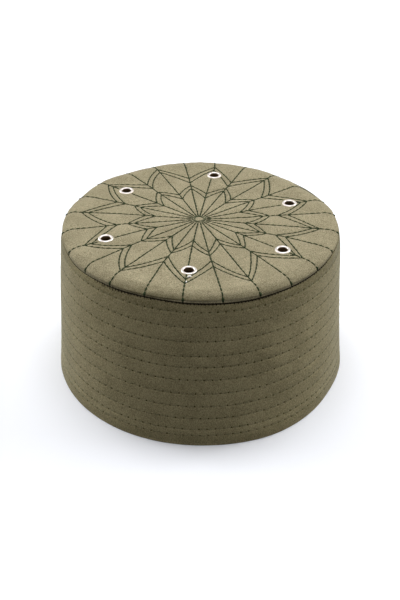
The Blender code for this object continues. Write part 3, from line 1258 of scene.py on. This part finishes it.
def side_stitches(surface):
    """The running stitches of the eleven rows, each diving into the needle holes at its ends."""
    centres = []
    normals = []
    for row, height in enumerate(STITCH_ROWS):
        for stitch in range(STITCHES_ROUND):
            turn = (stitch + SIDE_SHARES + PHASES[row]) * tau / STITCHES_ROUND
            radius = band_radius(height) + band_relief(turn, height) + SIDE_THREAD_HEIGHT * SIDE_DIVE
            centres.append(ring_at(turn, radius, height + row_wander(row, turn)))
            normals.append(turned_points(turn, 1.0, 0.0))
    shape = tubes(np.array(centres), np.array(normals), SIDE_THREAD_WIDTH, SIDE_THREAD_HEIGHT, sides=5)
    new_piece("side_stitches", shape, surface)


def seam_cord():
    """The cord down in the seam's groove."""
    turn = np.linspace(0.0, tau, CORD_STEPS)
    centres = ring_at(turn, CORD_RADIUS, BAND_TOP + CORD_RISE)
    return tubes(centres[None], turned_points(turn, 1.0, 0.0)[None], CORD_THICKNESS, CORD_THICKNESS, sides=8)


def whip_stitches():
    """Slanting stitches over the band's lip, longer at the small tuft."""
    rng = draws(13)
    centres = []
    normals = []
    shares = np.linspace(0.0, 1.0, STITCH_STEPS)
    for stitch in range(SEAM_STITCHES):
        start = (stitch + rng.uniform(-SEAM_STITCH_SPREAD, SEAM_STITCH_SPREAD)) * tau / SEAM_STITCHES
        turn = start + (SEAM_SLANT + rng.uniform(-SEAM_SLANT_SPREAD, SEAM_SLANT_SPREAD)) * shares
        tuft = bell(np.degrees(start) - 360.0, *TUFT_TURNS)
        reach = rng.uniform(*SEAM_REACHES) * round_cap(start, SEAM_OPENINGS)
        reach = reach + rng.uniform(*TUFT_REACHES) * tuft
        radius = SEAM_STITCH_START[0] + SEAM_STITCH_OUT * reach * shares**SEAM_OUT_POWER
        rise = SEAM_STITCH_RISE - SEAM_STITCH_FALL * shares**SEAM_FALL_POWER
        centres.append(ring_at(turn, radius, SEAM_STITCH_START[1] + reach * rise))
        normals.append(turned_points(turn, 0.7, 0.7))
    size = SEAM_THREAD_RADIUS * SEAM_TAPER
    return tubes(np.array(centres), np.array(normals), size, SEAM_THREAD_FLAT * size)


def seam_thread(surface):
    """The thread that joins crown and band: a cord down in the groove, and stitches over the lip."""
    new_piece("seam_thread", joined([seam_cord(), whip_stitches()]), surface)


# The eyelets

def eyelet_profile():
    """Radius and height of an eyelet's section: the rolled ring, the barrel and the flared back."""
    base = GAP - EYELET_SINK
    back_top = -FELT - GAP
    half = (EYELET_SEEN_RADIUS - EYELET_SEEN_HOLE) / 2.0
    back_half = (EYELET_BACK_RADIUS - EYELET_SEEN_HOLE) / 2.0
    under_roll = base - EYELET_UNDERCUT[1]
    roll = arc(EYELET_SEEN_HOLE + half, base, half, EYELET_SEEN_HEIGHT, EYELET_ROLL_ANGLES)
    outside = (EYELET_SEEN_RADIUS - EYELET_UNDERCUT[0], under_roll)
    barrel = [outside, (EYELET_BARREL, under_roll), (EYELET_BARREL, back_top)]
    back = arc(EYELET_SEEN_HOLE + back_half, back_top, back_half, EYELET_BACK_HEIGHT, EYELET_BACK_ANGLES)
    return roll + barrel + back + [(EYELET_SEEN_HOLE, base - EYELET_RIM_DEPTH)]


def eyelets(surface):
    """The six eyelets in finely turned metal, each in the place of its solid."""
    turn = evenly(EYELET_COLUMNS)
    profile = eyelet_profile()
    for number, (name, place) in enumerate(EYELETS.items(), start=1):
        rings = [turned_points(turn, radius, rise) + np.array(place) for radius, rise in profile]
        piece = new_piece(f"eyelet_ring_{number}", closed_rings(rings), surface)
        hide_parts(name)
        paint(piece, "inside", np.repeat([rise < -GAP for _, rise in profile], turn.size))


# Studio

def looking_at(thing, aim, turn, elevation, distance):
    """Puts a light or a camera at this turn and elevation, and gives the rotation that faces the aim."""
    above = radians(elevation)
    thing.location = Vector(aim) + Vector(
        turned_points(radians(turn), distance * cos(above), distance * sin(above))
    )
    return (Vector(aim) - thing.location).to_track_quat("-Z", "Y")


def lights():
    """Square softboxes that face the cap."""
    for name, off, elevation, distance, size, watts, blue in LIGHTS:
        light = bpy.data.lights.new(name, "AREA")
        light.size = size
        light.energy = watts
        light.color = (1.0, 1.0, blue)
        lamp = new_object(name, light)
        lamp.rotation_euler = looking_at(lamp, LIGHT_AIM, CAMERA_TURN + off, elevation, distance).to_euler()
        lamp.visible_camera = False


def floor():
    """A plain white disc, which throws no light back on the cap."""
    mesh = bpy.data.meshes.new("floor")
    corners = turned_points(evenly(FLOOR_CORNERS), FLOOR_RADIUS, 0.0)
    mesh.from_pydata(corners.tolist(), [], [tuple(range(FLOOR_CORNERS))])
    sweep = new_object("floor", mesh)
    made, tree, shader = new_material("studio_white", specular=0.0)
    fill(tree, shader, {"Base Color": FLOOR_COLOR, "Roughness": 1.0})
    fill(tree, shader, {"Emission Color": FLOOR_GLOW_COLOR, "Emission Strength": FLOOR_GLOW})
    mesh.materials.append(made)
    sweep.visible_diffuse = False


def world():
    studio = bpy.data.worlds.new("studio")
    bpy.context.scene.world = studio
    studio.use_nodes = True
    background = studio.node_tree.nodes["Background"]
    background.inputs["Color"].default_value = (1.0, 1.0, 1.0, 1.0)
    background.inputs["Strength"].default_value = WORLD_STRENGTH
    studio.cycles_visibility.diffuse = False
    bpy.context.scene.view_settings.view_transform = "Standard"


def camera():
    """The camera at the photograph's angle, aimed at the cap's middle."""
    lens = bpy.data.cameras.new("camera")
    lens.lens = CAMERA_LENS
    lens.sensor_width = 36.0
    lens.clip_start = 0.01
    eye = new_object("camera", lens)
    look = looking_at(eye, CAMERA_AIM, CAMERA_TURN, CAMERA_ELEVATION, CAMERA_DISTANCE)
    eye.rotation_mode = "QUATERNION"
    eye.rotation_quaternion = look @ Quaternion((0.0, 0.0, 1.0), CAMERA_ROLL)
    bpy.context.scene.camera = eye


def build():
    camera()
    world()
    lights()
    floor()
    crown_felt(felt_material("top_felt", TOP_TONES, TOP_SHEEN, (1.0, 1.0, 1.0)))
    band_felt(felt_material("side_felt", SIDE_TONES, SIDE_SHEEN, (1.0, 1.0, 0.5), sewn_rows=True))
    crown_stitches(thread_material("star_thread", STAR_DYES))
    centre_loops(thread_material("centre_thread", CENTRE_DYES))
    pale_flecks(thread_material("pale_thread", PALE_DYES))
    side_stitches(thread_material("side_thread", SIDE_DYES))
    seam_thread(thread_material("seam_thread", SEAM_DYES))
    eyelets(metal_material("eyelet_metal"))


build()
